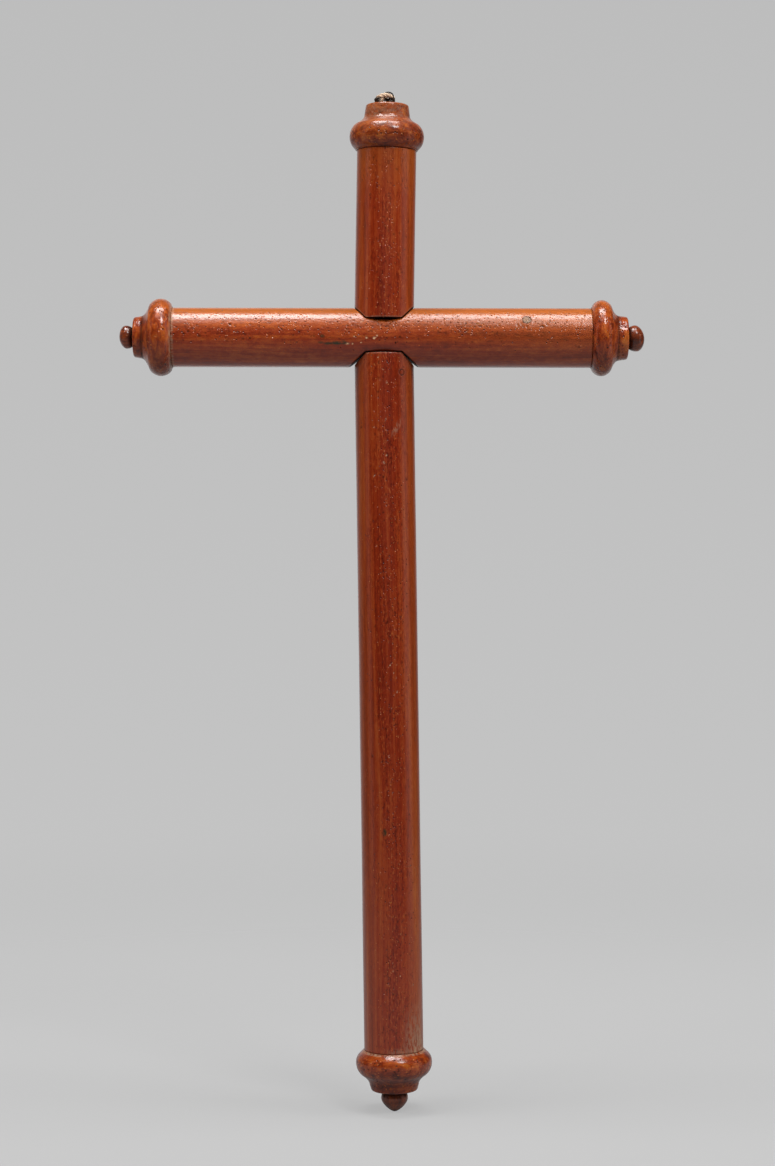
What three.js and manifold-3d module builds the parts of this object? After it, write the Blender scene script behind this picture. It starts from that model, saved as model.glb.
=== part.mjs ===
// A turned wooden cross: three round bars jointed at the crossing, each free end closed by a
// bead-and-collar cap that a knob-headed peg is driven through.
// Units are millimetres, +Z is up, +X runs along the right arm and the front faces -Y.
// The origin is level with the tip of the bottom knob, halfway between the tips of the two arms.

import * as THREE from 'three';
import { mergeVertices } from 'three/addons/utils/BufferGeometryUtils.js';
import Module from 'manifold-3d';

const wasm = await Module();
wasm.setup();

// ---------- driving dimensions ----------

const BAR_RADIUS = 14.8;
const BAR_SEGMENTS = 48;
const CAP_SEGMENTS = 36;
const KNOB_SEGMENTS = 20;
const PIN_SEGMENTS = 20;
const DOWEL_SEGMENTS = 28;

const GAP = 0.3; // left between two pieces that touch on the real object
const OVERCUT = 2; // how far a cutter runs past the surface that it opens

const CROSSING_X = 1.05;
const ARM_DROOP = 0.12; // degrees, the right arm hangs a little low
const UPPER_LEAN = 0.9; // degrees towards +X, going up
const LOWER_LEAN = 0.82; // degrees towards +X, going down

// distance from the crossing to the seam between each bar and its cap
const LEFT_REACH = 105.3;
const RIGHT_REACH = 103.3;
const UPPER_REACH = 92.9;
const LOWER_REACH = 356.1;

// the crossbar's notches: a flat floor between two sloping sides
const UPPER_FLOOR = 8.9;
const LOWER_FLOOR = 7.6;
const UPPER_NOTCH_HALF_FLOOR = 9;
const LOWER_NOTCH_HALF_FLOOR = 9.1;
const NOTCH_SLOPE = 1; // rise over run of a sloping side
const LOWER_MOUTH_CLEARANCE = 0.8; // the lower notch is cut wider than its upright

const TENON_RADIUS = 9;
const TENON_LENGTH = 12;

const DOWEL_RADIUS = 4.5;
const DOWEL_GRIP = 24; // how far the centre dowel goes into each upright

const STEM_RADIUS = 3;
const STEM_GRIP = 9; // how far a peg goes into the bar's tenon
const PEG_HOLE_DEPTH = 10;

// one turned cap per end: the bead is half an ellipse, the collar is a short tapered neck
const CAPS = {
  left: {
    length: 19.4,
    beadCentre: 5.9, beadHalf: 6.5, bead: 19.3,
    collarStart: 15.2, collar: 10.5, collarEnd: 10.1,
  },
  right: {
    length: 18.2,
    beadCentre: 5.2, beadHalf: 5.8, bead: 18.9,
    collarStart: 13.4, collar: 11.1, collarEnd: 10.7,
  },
  top: {
    length: 22.8,
    beadCentre: 6.9, beadHalf: 7.4, bead: 18.6,
    collarStart: 16.8, collar: 11.4, collarEnd: 10.8,
  },
  bottom: {
    length: 20.5,
    beadCentre: 6.5, beadHalf: 7.3, bead: 19.1,
    collarStart: 16.9, collar: 12.4, collarEnd: 11.8,
  },
};
const CAP_MOUTH_RADIUS = 15.5; // where the cap meets the bar
const BEAD_HEIGHT = 6.5; // of the bead's ellipse, from its core to its crown
const BEAD_LEAVE = 55; // degrees past the crown at which the bead turns into the cove
const COVE_SOFTEN = 1.6; // the cove's curve starts to bend this far before the collar
const COVE_END = 0.6; // and ends this far along it
const COLLAR_ARRIS = 1.1; // radius of the collar's outer edge
const SHOULDER_INNER_RADIUS = 7.6; // the collar's end is a flat ring outside this radius

// knob heads, from the collar's end outwards; the shares shape the curve from widest to tip
const KNOBS = {
  left: { neck: 3.6, radius: 5.8, widest: 3.8, length: 7.2 },
  right: { neck: 4.6, radius: 6.5, widest: 4, length: 8.4 },
  bottom: { neck: 4.9, radius: 6.8, widest: 4.4, length: 10.9, pointed: true },
};
const ROUND_NOSE = { fall: 0.52, spread: 0.5 };
const POINTED_NOSE = { fall: 0.42, spread: 0.3 };

const KNOT_RADIUS = 5.4;
const KNOT_HEIGHT = 6.6;
const KNOT_OFFSET = -1.6; // the knot sits left of the cap's axis
const KNOT_TAIL = 8; // how far its tails are pushed down the peg hole
const KNOT_TAIL_SLACK = 0.4; // the tails are thinner than a peg by this, all round

const PLUG_RADIUS = 2.1;
const PLUG_DEPTH = 9;
const PLUG_REACH = 70.7; // along the right arm from the crossing
const PLUG_RISE = 33; // degrees above straight ahead
const PLUG_SINK = 0.1; // its face lies this far under the bar's surface

// ---------- helpers ----------

const radians = THREE.MathUtils.degToRad;

function toSolid(geometry) {
  const bare = geometry.index ? geometry.toNonIndexed() : geometry.clone();
  bare.deleteAttribute('normal');
  bare.deleteAttribute('uv');
  const merged = mergeVertices(bare, 1e-5);
  return new wasm.Manifold(new wasm.Mesh({
    numProp: 3,
    vertProperties: new Float32Array(merged.attributes.position.array),
    triVerts: new Uint32Array(merged.index.array),
  }));
}

function toGeometry(solid) {
  const mesh = solid.getMesh();
  const geometry = new THREE.BufferGeometry();
  geometry.setAttribute('position', new THREE.BufferAttribute(mesh.vertProperties, 3));
  geometry.setIndex(new THREE.BufferAttribute(mesh.triVerts, 1));
  return geometry;
}

// a solid of revolution about +Z, from (radius, height) points
function turned(points, segments) {
  const profile = points.map(([radius, height]) => new THREE.Vector2(radius, height));
  return new THREE.LatheGeometry(profile, segments).rotateX(Math.PI / 2);
}

// a plain cylinder about +Z, from one height to another
function pin(radius, low, high, segments) {
  return turned([[0, low], [radius, low], [radius, high], [0, high]], segments);
}

// a prism that runs along Y, from a closed outline of (x, z) points
function prismAlongY(points, halfDepth) {
  const outline = new THREE.Shape(points.map(([x, z]) => new THREE.Vector2(x, z)));
  const block = new THREE.ExtrudeGeometry(outline, { depth: 2 * halfDepth, bevelEnabled: false });
  return block.rotateX(Math.PI / 2).translate(0, halfDepth, 0);
}

// points along part of an ellipse, from one angle to another in degrees
function arc(centreRadius, centreHeight, halfRadius, halfHeight, from, to, steps) {
  const points = [];
  for (let i = 0; i <= steps; i += 1) {
    const angle = radians(from + ((to - from) * i) / steps);
    points.push([
      centreRadius + halfRadius * Math.cos(angle),
      centreHeight + halfHeight * Math.sin(angle),
    ]);
  }
  return points;
}

// how each free end stands: its own +Z runs outwards along the bar, from the crossing
const ENDS = {
  left: { turn: radians(ARM_DROOP - 90), reach: LEFT_REACH },
  right: { turn: radians(90 + ARM_DROOP), reach: RIGHT_REACH },
  top: { turn: radians(UPPER_LEAN), reach: UPPER_REACH },
  bottom: { turn: radians(180 - LOWER_LEAN), reach: LOWER_REACH },
};

const cross = new THREE.Group();
const bottomLength = LOWER_REACH + CAPS.bottom.length + KNOBS.bottom.length;
cross.position.set(CROSSING_X, 0, bottomLength * Math.cos(radians(LOWER_LEAN)));

function add(name, geometry, material, parent = cross) {
  const mesh = new THREE.Mesh(geometry, material);
  mesh.name = name;
  parent.add(mesh);
}

function endGroup(end) {
  const group = new THREE.Group();
  group.rotation.y = ENDS[end].turn;
  cross.add(group);
  return group;
}

function wood(color, roughness) {
  return new THREE.MeshStandardMaterial({ color, roughness, metalness: 0 });
}

// ---------- the notches and the ends that sit in them ----------

// the outline of a notch: floor between sloping sides, open away from the crossbar
function notchOutline(sign, floor, halfFloor, slope, open) {
  const halfMouth = halfFloor + (open - floor) / slope;
  return [
    [-halfFloor, sign * floor],
    [halfFloor, sign * floor],
    [halfMouth, sign * open],
    [-halfMouth, sign * open],
  ];
}

// the outline that an upright's end is trimmed to: it clears the notch by the gap on every face
function endOutline(sign, floor, halfFloor, slope, far) {
  const tip = floor + GAP;
  const halfTip = halfFloor - GAP * (Math.SQRT2 - 1);
  const halfBlock = 2 * BAR_RADIUS;
  const shoulder = tip + (halfBlock - halfTip) * slope;
  return [
    [-halfTip, sign * tip],
    [halfTip, sign * tip],
    [halfBlock, sign * shoulder],
    [halfBlock, sign * far],
    [-halfBlock, sign * far],
    [-halfBlock, sign * shoulder],
  ];
}

const NOTCH_OPEN = BAR_RADIUS + 2 * OVERCUT;
const lowerSlope = (BAR_RADIUS - LOWER_FLOOR) / (BAR_RADIUS - LOWER_FLOOR + LOWER_MOUTH_CLEARANCE);

// ---------- bars ----------

function crossbar() {
  const low = -(LEFT_REACH + TENON_LENGTH);
  const high = RIGHT_REACH + TENON_LENGTH;
  const blank = turned([
    [0, low],
    [TENON_RADIUS, low],
    [TENON_RADIUS, -LEFT_REACH],
    [BAR_RADIUS, -LEFT_REACH],
    [BAR_RADIUS, RIGHT_REACH],
    [TENON_RADIUS, RIGHT_REACH],
    [TENON_RADIUS, high],
    [0, high],
  ], BAR_SEGMENTS);
  const upperNotch = notchOutline(1, UPPER_FLOOR, UPPER_NOTCH_HALF_FLOOR, NOTCH_SLOPE, NOTCH_OPEN);
  const lowerNotch = notchOutline(-1, LOWER_FLOOR, LOWER_NOTCH_HALF_FLOOR, lowerSlope, NOTCH_OPEN);
  const alongBar = radians(90 + ARM_DROOP);
  const rightPegHole = pin(STEM_RADIUS + GAP, high - PEG_HOLE_DEPTH, high + OVERCUT, PIN_SEGMENTS);
  const leftPegHole = pin(STEM_RADIUS + GAP, low - OVERCUT, low + PEG_HOLE_DEPTH, PIN_SEGMENTS);
  const plugFloor = BAR_RADIUS - PLUG_DEPTH - GAP;
  const plugHole = pin(PLUG_RADIUS + GAP, plugFloor, BAR_RADIUS + OVERCUT, PIN_SEGMENTS)
    .rotateX(radians(90 - PLUG_RISE))
    .translate(PLUG_REACH, 0, -PLUG_REACH * Math.tan(radians(ARM_DROOP)));
  return toGeometry(
    toSolid(blank.rotateY(alongBar))
      .subtract(toSolid(prismAlongY(upperNotch, BAR_RADIUS + OVERCUT)))
      .subtract(toSolid(prismAlongY(lowerNotch, BAR_RADIUS + OVERCUT)))
      .subtract(toSolid(pin(DOWEL_RADIUS + GAP, -BAR_RADIUS, BAR_RADIUS, DOWEL_SEGMENTS)))
      .subtract(toSolid(plugHole))
      .subtract(toSolid(rightPegHole.rotateY(alongBar)))
      .subtract(toSolid(leftPegHole.rotateY(alongBar))),
  );
}

// an upright, in the crossing's frame: a leaning bar with a tenon outside and a wedge end inside
function upright(end, sign, floor, halfFloor) {
  const { turn, reach } = ENDS[end];
  const tip = reach + TENON_LENGTH;
  const blank = turned([
    [0, 0],
    [BAR_RADIUS, 0],
    [BAR_RADIUS, reach],
    [TENON_RADIUS, reach],
    [TENON_RADIUS, tip],
    [0, tip],
  ], BAR_SEGMENTS).rotateY(turn);
  const keep = endOutline(sign, floor, halfFloor, NOTCH_SLOPE, tip + 2 * BAR_RADIUS);
  const dowelHole = pin(DOWEL_RADIUS + GAP, 0, floor + DOWEL_GRIP + 2 * GAP, DOWEL_SEGMENTS);
  if (sign < 0) {
    dowelHole.rotateX(Math.PI);
  }
  const pegHole = pin(STEM_RADIUS + GAP, tip - PEG_HOLE_DEPTH, tip + OVERCUT, PIN_SEGMENTS).rotateY(turn);
  return toGeometry(
    toSolid(blank)
      .intersect(toSolid(prismAlongY(keep, BAR_RADIUS + OVERCUT)))
      .subtract(toSolid(dowelHole))
      .subtract(toSolid(pegHole)),
  );
}

// ---------- caps and knobs, each standing along +Z from its seam ----------

function cap({ length, beadCentre, beadHalf, bead, collarStart, collar, collarEnd }) {
  const core = bead - BEAD_HEIGHT;
  const mouth = THREE.MathUtils.radToDeg(Math.asin(-beadCentre / beadHalf));
  const crown = arc(core, beadCentre, BEAD_HEIGHT, beadHalf, mouth, BEAD_LEAVE, 10);
  const [leaveRadius, leaveHeight] = crown.at(-1);
  const cove = new THREE.QuadraticBezierCurve(
    new THREE.Vector2(leaveRadius, leaveHeight),
    new THREE.Vector2(collar, collarStart - COVE_SOFTEN),
    new THREE.Vector2(collar, collarStart + COVE_END),
  ).getPoints(4).slice(1).map(({ x, y }) => [x, y]);
  const end = arc(collarEnd - COLLAR_ARRIS, length - COLLAR_ARRIS, COLLAR_ARRIS, COLLAR_ARRIS, 0, 90, 2);
  const socket = TENON_RADIUS + GAP;
  const bore = STEM_RADIUS + GAP;
  const outline = [
    [socket, GAP],
    [CAP_MOUTH_RADIUS, GAP],
    ...crown.filter(([, height]) => height > 2 * GAP),
    ...cove,
    ...end,
    [SHOULDER_INNER_RADIUS, length],
    [bore, length],
    [bore, TENON_LENGTH + GAP],
    [socket, TENON_LENGTH + GAP],
    [socket, GAP],
  ];
  return turned(outline, CAP_SEGMENTS);
}

function knob(capLength, { neck, radius, widest, length, pointed }) {
  const base = capLength + GAP;
  const stemEnd = TENON_LENGTH - STEM_GRIP;
  const crest = base + widest;
  const tip = base + length - GAP;
  const { fall, spread } = pointed ? POINTED_NOSE : ROUND_NOSE;
  const belly = new THREE.CubicBezierCurve(
    new THREE.Vector2(neck, base),
    new THREE.Vector2(radius, base + widest / 5),
    new THREE.Vector2(radius, crest - widest / 3),
    new THREE.Vector2(radius, crest),
  );
  const nose = new THREE.CubicBezierCurve(
    new THREE.Vector2(radius, crest),
    new THREE.Vector2(radius, crest + (tip - crest) * fall),
    new THREE.Vector2(radius * spread, tip),
    new THREE.Vector2(0, tip),
  );
  const points = [...belly.getPoints(5), ...nose.getPoints(7).slice(1)];
  return turned([
    [0, stemEnd],
    [STEM_RADIUS, stemEnd],
    [STEM_RADIUS, base],
    ...points.map(({ x, y }) => [x, y]),
  ], KNOB_SEGMENTS);
}

// the knot in the empty peg hole: a plain rounded lump on a tail
function cordKnot(capLength) {
  const base = capLength + GAP;
  const dome = arc(0, base, KNOT_RADIUS, KNOT_HEIGHT, 0, 90, 8);
  const lump = turned([[0, base], ...dome], KNOB_SEGMENTS).translate(KNOT_OFFSET, 0, 0);
  const tail = pin(STEM_RADIUS - KNOT_TAIL_SLACK, capLength - KNOT_TAIL, base + 1, PIN_SEGMENTS);
  return toGeometry(toSolid(lump).add(toSolid(tail)));
}

// ---------- assembly ----------

add('crossbar', crossbar(), wood(0x8a3c18, 0.3));
add('upper_upright', upright('top', 1, UPPER_FLOOR, UPPER_NOTCH_HALF_FLOOR), wood(0x7c3216, 0.32));
add('lower_upright', upright('bottom', -1, LOWER_FLOOR, LOWER_NOTCH_HALF_FLOOR), wood(0x742c12, 0.32));

const dowelLow = -(LOWER_FLOOR + DOWEL_GRIP);
const dowelHigh = UPPER_FLOOR + DOWEL_GRIP;
add('centre_dowel', pin(DOWEL_RADIUS, dowelLow, dowelHigh, DOWEL_SEGMENTS), wood(0xb98b5a, 0.7));

for (const end of Object.keys(ENDS)) {
  const group = endGroup(end);
  const seat = new THREE.Group();
  seat.position.z = ENDS[end].reach;
  group.add(seat);
  add(`${end}_cap`, cap(CAPS[end]), wood(0x93451c, 0.34), seat);
  if (KNOBS[end]) {
    add(`${end}_knob`, knob(CAPS[end].length, KNOBS[end]), wood(0x6b2c14, 0.36), seat);
  } else {
    add('top_cord_knot', cordKnot(CAPS[end].length), wood(0xa98e6c, 0.9), seat);
  }
}

const plug = pin(PLUG_RADIUS, BAR_RADIUS - PLUG_DEPTH, BAR_RADIUS - PLUG_SINK, PIN_SEGMENTS)
  .rotateX(radians(90 - PLUG_RISE))
  .translate(PLUG_REACH, 0, -PLUG_REACH * Math.tan(radians(ARM_DROOP)));
add('right_arm_plug', plug, wood(0x9c8668, 0.5));

export default cross;
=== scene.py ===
"""The looks of a turned wooden cross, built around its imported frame.

Everything is in metres in the frame of the CAD model: +Z is up, +X runs along the right arm and
the front faces -Y. Lengths that read better in millimetres are written as a number times MM.
"""

import math

import bpy
import numpy as np
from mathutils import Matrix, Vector, kdtree


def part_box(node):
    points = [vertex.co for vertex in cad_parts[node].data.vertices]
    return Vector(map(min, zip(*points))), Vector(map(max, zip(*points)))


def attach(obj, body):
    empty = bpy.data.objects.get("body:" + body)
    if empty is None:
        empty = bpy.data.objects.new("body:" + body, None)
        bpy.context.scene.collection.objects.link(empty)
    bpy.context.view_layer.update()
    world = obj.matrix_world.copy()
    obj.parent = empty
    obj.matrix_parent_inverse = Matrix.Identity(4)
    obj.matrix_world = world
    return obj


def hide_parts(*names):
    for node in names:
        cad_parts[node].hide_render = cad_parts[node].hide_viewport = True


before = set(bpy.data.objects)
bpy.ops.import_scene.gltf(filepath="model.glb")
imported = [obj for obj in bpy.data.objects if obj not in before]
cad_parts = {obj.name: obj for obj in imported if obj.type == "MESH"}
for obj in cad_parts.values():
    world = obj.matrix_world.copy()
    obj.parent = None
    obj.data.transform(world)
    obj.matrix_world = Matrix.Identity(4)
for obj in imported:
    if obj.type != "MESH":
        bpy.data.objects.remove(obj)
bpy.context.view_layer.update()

MM = 0.001
FRONT = np.array((0.0, -1.0, 0.0))


def one_long(vector):
    """A vector scaled to length one."""
    return vector / np.linalg.norm(vector)


# ---------- the design, read from the frame ----------

def corners(node):
    """A node's lowest and highest corners."""
    low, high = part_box(node)
    return np.array(low), np.array(high)


def middle(node):
    """The centre of a node's box."""
    low, high = corners(node)
    return (low + high) / 2


FRAME_GAP = 0.3 * MM  # the frame leaves this between pieces that touch
SEAM = 0.08 * MM  # what is left of it here

bar_low, bar_high = corners("crossbar")
BAR_RADIUS = (bar_high[1] - bar_low[1]) / 2
CROSSING = np.array((middle("centre_dowel")[0], 0.0, middle("crossbar")[2]))
UPPER_FLOOR = corners("upper_upright")[0][2] - CROSSING[2] - FRAME_GAP
LOWER_FLOOR = CROSSING[2] - corners("lower_upright")[1][2] - FRAME_GAP

MOUTH_RADIUS = BAR_RADIUS + 0.7 * MM
TENON_RADIUS = 9 * MM
TENON_LENGTH = 12 * MM
STEM_RADIUS = 3 * MM
COLLAR_FACE = 0.6  # radius of a collar's flat end, as a share of the cap's mouth
PEG_HOLE = (3.3 * MM, 10 * MM)  # radius and depth
DOWEL_HOLE = (4.8 * MM, 24.6 * MM)  # radius, and depth in each upright
UPPER_HALF_FLOOR = 9 * MM
LOWER_HALF_FLOOR = 9.1 * MM
LOWER_MOUTH_CLEARANCE = 0.8 * MM


class End:
    """One free end of the cross: its direction, where its cap's seam is and how long the cap is."""

    def __init__(self, name, sideways):
        self.name = name
        self.axis = one_long(middle(f"{name}_cap") - CROSSING)
        self.side = np.array(sideways, float)
        self.side = one_long(self.side - self.axis * (self.side @ self.axis))
        main = int(np.abs(self.axis).argmax())
        lean = math.sqrt(max(0.0, 1 - self.axis[main] ** 2))
        low, high = corners(f"{name}_cap")
        reach = sorted(abs(corner[main] - CROSSING[main]) for corner in (low, high))
        self.seam = (reach[0] + MOUTH_RADIUS * lean) / abs(self.axis[main]) - FRAME_GAP
        self.length = (reach[1] - COLLAR_FACE * MOUTH_RADIUS * lean) / abs(self.axis[main]) - self.seam
        self.bead = (high[1] - low[1]) / 2
        self.base = CROSSING + self.axis * self.seam

    def rings(self, heights, radii, angles):
        """Points of rings that stand on the seam."""
        other = np.cross(self.axis, self.side)
        return rings_around(self.base, self.axis, self.side, other, heights, radii, angles)


ENDS = {
    "left": End("left", (0, 0, 1)),
    "right": End("right", (0, 0, 1)),
    "top": End("top", (1, 0, 0)),
    "bottom": End("bottom", (1, 0, 0)),
}


# ---------- mesh helpers ----------

def unit(value):
    """A value kept between 0 and 1."""
    return np.clip(value, 0, 1)


def full_turn(count):
    """Evenly spaced angles once round a circle."""
    return np.linspace(0, 2 * math.pi, count, endpoint=False)


def smooth_min(a, b, ease):
    """The smaller of two lengths, with the corner between them eased."""
    near = np.clip(ease - np.abs(a - b), 0, None) / ease
    return np.minimum(a, b) - near * near * ease / 4


def value_noise(points, size, seed):
    """Smooth noise from -1 to 1 at an array of points, with features of a given size."""
    rng = np.random.default_rng(seed)
    table = rng.uniform(-1, 1, 4096)
    cell = points / size + rng.uniform(0, 50, 3)
    base = np.floor(cell).astype(int)
    part = cell - base
    part = part * part * (3 - 2 * part)
    total = np.zeros(points.shape[:-1])
    for corner in range(8):
        step = np.array((corner & 1, corner >> 1 & 1, corner >> 2 & 1))
        key = (base + step) @ np.array((73, 179, 283))
        weight = np.prod(np.where(step, part, 1 - part), axis=-1)
        total += weight * table[key % len(table)]
    return total


def tube_faces(count, around, closed_loop):
    """Quads between the rings of a stack, and a fan at each end unless the stack closes on itself."""
    index = np.arange(count * around).reshape(count, around)
    upper = np.vstack((index[1:], index[:1])) if closed_loop else index[1:]
    lower = index if closed_loop else index[:-1]
    quads = np.stack((lower, np.roll(lower, -1, 1), np.roll(upper, -1, 1), upper), axis=-1)
    faces = quads.reshape(-1, 4).tolist()
    if not closed_loop:
        first, last = count * around, count * around + 1
        faces += [(first, b, a) for a, b in zip(index[0].tolist(), np.roll(index[0], -1).tolist())]
        faces += [(last, a, b) for a, b in zip(index[-1].tolist(), np.roll(index[-1], -1).tolist())]
    return faces


def new_object(name, data):
    """An object in the scene's collection."""
    thing = bpy.data.objects.new(name, data)
    bpy.context.collection.objects.link(thing)
    return thing


def new_piece(name, points, faces, values, grain):
    """A closed mesh with its values per point written on it."""
    mesh = bpy.data.meshes.new(name)
    mesh.from_pydata(points.tolist(), [], faces)
    mesh.update()
    piece = new_object(name, mesh)
    write_marks(piece, points, values, grain)
    face_outwards(piece)
    return piece


def make_mesh(name, rings, closed_loop, marks, grain):
    """A piece from a stack of rings. marks are values per point for the materials to read."""
    points = rings.reshape(-1, 3)
    if not closed_loop:
        points = np.vstack((points, rings[0].mean(0), rings[-1].mean(0)))
    values = {}
    for key, value in marks.items():
        flat = np.broadcast_to(value, rings.shape[:2])
        poles = () if closed_loop else (flat[0].mean(), flat[-1].mean())
        values[key] = np.concatenate((flat.reshape(-1), poles))
    return new_piece(name, points, tube_faces(*rings.shape[:2], closed_loop), values, grain)


def write_marks(piece, points, values, grain):
    """Writes the values and the grain coordinates per point, and smooths the faces."""
    mesh = piece.data
    for key, value in values.items():
        layer = mesh.attributes.new(key, "FLOAT", "POINT")
        layer.data.foreach_set("value", value.astype(np.float32))
    layer = mesh.attributes.new("grain", "FLOAT_VECTOR", "POINT")
    layer.data.foreach_set("vector", (grain(points) / MM).astype(np.float32).reshape(-1))
    mesh.polygons.foreach_set("use_smooth", [True] * len(mesh.polygons))


def mesh_points(mesh):
    """A mesh's points as an array."""
    points = np.empty(len(mesh.vertices) * 3)
    mesh.vertices.foreach_get("co", points)
    return points.reshape(-1, 3)


def face_outwards(piece):
    """Turns the faces round if the closed mesh is inside out."""
    mesh = piece.data
    mesh.calc_loop_triangles()
    triangles = np.empty(len(mesh.loop_triangles) * 3, int)
    mesh.loop_triangles.foreach_get("vertices", triangles)
    a, b, c = mesh_points(mesh)[triangles.reshape(-1, 3)].transpose(1, 0, 2)
    if np.einsum("ij,ij->i", a - a.mean(0), np.cross(b - a, c - a)).sum() < 0:
        mesh.flip_normals()


def grain_along(axis, side, origin, seed):
    """Grain coordinates: two across the grain and one along it, moved to a place of the piece's own."""
    other = np.cross(axis, side)
    shift = np.random.default_rng(seed).uniform(0.05, 0.45, 3)

    def grain(points):
        from_origin = points - origin
        return np.stack((from_origin @ side, from_origin @ other, from_origin @ axis), axis=-1) + shift

    return grain


def rings_around(origin, axis, side, other, heights, radii, angles):
    """Points of rings: one ring per height, with a radius per height and angle."""
    across = np.cos(angles)[:, None] * side + np.sin(angles)[:, None] * other
    return origin + heights[:, None, None] * axis + radii[:, :, None] * across[None]


BAR_FRONT = math.pi / 2  # where the front is, among the angles around a bar
FRONT_STEPS = 108
BACK_STEPS = 52


def around_bar():
    """Angles around a bar, closer together over the front half."""
    front = np.linspace(-math.pi / 2, math.pi / 2, FRONT_STEPS, endpoint=False)
    back = np.linspace(math.pi / 2, 1.5 * math.pi, BACK_STEPS, endpoint=False)
    return BAR_FRONT + np.concatenate((front, back))


BAR_ANGLES = around_bar()


class Marks:
    """Wear, dirt and painted light and shade on a bar, as a depth and as values that the wood's material
    reads.
    """

    def __init__(self, heights):
        shape = (len(heights), len(BAR_ANGLES))
        self.heights = heights[:, None]
        self.turn = (BAR_FRONT - BAR_ANGLES + math.pi) % (2 * math.pi) - math.pi
        self.degrees = np.degrees(self.turn)[None] * np.ones(shape)
        self.depth = np.zeros(shape)
        # dirt in pits and seams, and painted shade in the notches, at seams and under overhangs
        self.grime_and_shade = np.zeros(shape)
        # wear and dust; chips' pale middles are painted glints, and the upright's arris gets a painted
        # highlight
        self.wear = np.zeros(shape)
        # painted light: lighter, more orange wood where the lamps fall
        self.painted_light = np.zeros(shape)
        self.stain = np.zeros(shape)
        self.pox = np.ones(shape)

    def distance(self, along, turn, long=1.0, slant=0.0):
        """How far each point is from a place on the bar, over the surface; long stretches it."""
        up = (self.turn[None] - math.radians(turn)) * BAR_RADIUS
        out = self.heights - along * MM
        cos, sin = math.cos(math.radians(slant)), math.sin(math.radians(slant))
        return np.hypot((out * cos + up * sin) / long, up * cos - out * sin) / MM

    def add_dirt_and_shade(self, amount):
        self.grime_and_shade = np.maximum(self.grime_and_shade, amount)

    def add_wear_and_highlight(self, amount):
        self.wear = np.maximum(self.wear, amount)

    def add_stain(self, amount):
        self.stain = np.maximum(self.stain, amount)

    def pit(self, along, turn, radius, depth, dirt=0.8, long=1.0, slant=0.0):
        """A small round pit with a raised edge and dirt in the bottom."""
        far = self.distance(along, turn, long, slant) / radius
        self.depth += depth * MM * (np.exp(-2.2 * far ** 2) - 0.28 * np.exp(-7 * (far - 1.25) ** 2))
        self.add_dirt_and_shade(dirt * unit(1.5 - 1.6 * far))

    def glinting_chip(self, along, turn, radius, long=1.0, slant=0.0, bright=1.0):
        """A small flake of varnish gone, with pale wood showing; its bright middle is a painted glint."""
        far = self.distance(along, turn, long, slant) / (0.8 * radius)
        self.depth += 0.12 * MM * np.exp(-2 * far ** 2)
        self.add_wear_and_highlight(bright * np.clip(2.6 - 2.2 * far, 0, 1.8))

    def padded(self, before, after):
        """The values for the material, carried on over the rings that close a bar's ends."""
        names = ("grime_and_shade", "wear", "painted_light", "stain", "pox")
        return {name: np.pad(getattr(self, name), ((before, after), (0, 0)), mode="edge") for name in names}


def pin_prick(marks, count, low, high, seed, turn_low, turn_high, deepest):
    """Many small pits over the front of a bar, up to a depth in millimetres."""
    rng = np.random.default_rng(seed)
    for _ in range(count):
        along = rng.uniform(low, high)
        turn = rng.triangular(turn_low, (turn_low + turn_high) / 2, turn_high)
        marks.pit(along, turn, rng.uniform(0.4, 0.85), rng.uniform(0.3, 1) * deepest, 0.7 * rng.random())


def finish_piece(piece, material, slot, *nodes):
    """What every piece gets: its material, its body and the node it stands for, hidden; its slot is not used.
    """
    piece.data.materials.append(material)
    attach(piece, "root")
    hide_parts(*nodes)
    return piece


def plain_cylinder(start, end, radius, sides=64):
    """A closed cylinder between two points, to cut holes with."""
    start, end = np.array(start), np.array(end)
    axis = one_long(end - start)
    side = one_long(np.cross(axis, (0.0, 1.0, 0.0) if abs(axis[1]) < 0.9 else (1.0, 0.0, 0.0)))
    heights = np.array((0.0, np.linalg.norm(end - start)))
    radii = np.full((2, sides), radius)
    return rings_around(start, axis, side, np.cross(axis, side), heights, radii, full_turn(sides))


def bore(piece, cutters, rings_values, grain):
    """Cuts cylinders out of a piece and writes its marks again from the nearest old points."""
    old_points = mesh_points(piece.data)
    values = {key: np.concatenate((value.reshape(-1), (0.0, 0.0))) for key, value in rings_values.items()}
    for number, cutter in enumerate(cutters):
        tool = make_mesh(f"cutter_{number}", cutter, False, {}, grain)
        cut = piece.modifiers.new("cut", "BOOLEAN")
        cut.object = tool
        cut.operation = "DIFFERENCE"
        cut.solver = "EXACT"
        depsgraph = bpy.context.evaluated_depsgraph_get()
        mesh = bpy.data.meshes.new_from_object(piece.evaluated_get(depsgraph))
        piece.modifiers.clear()
        old_mesh = piece.data
        piece.data = mesh
        bpy.data.meshes.remove(old_mesh)
        old_tool = tool.data
        bpy.data.objects.remove(tool)
        bpy.data.meshes.remove(old_tool)
    piece.data.name = piece.name
    for layer in [a.name for a in piece.data.attributes if a.name in (*values, "grain")]:
        piece.data.attributes.remove(piece.data.attributes[layer])
    tree = kdtree.KDTree(len(old_points))
    for number, point in enumerate(old_points):
        tree.insert(point, number)
    tree.balance()
    points = mesh_points(piece.data)
    nearest = np.array([tree.find(point)[1] for point in points])
    write_marks(piece, points, {key: value[nearest] for key, value in values.items()}, grain)


# ---------- shader helpers ----------

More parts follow.
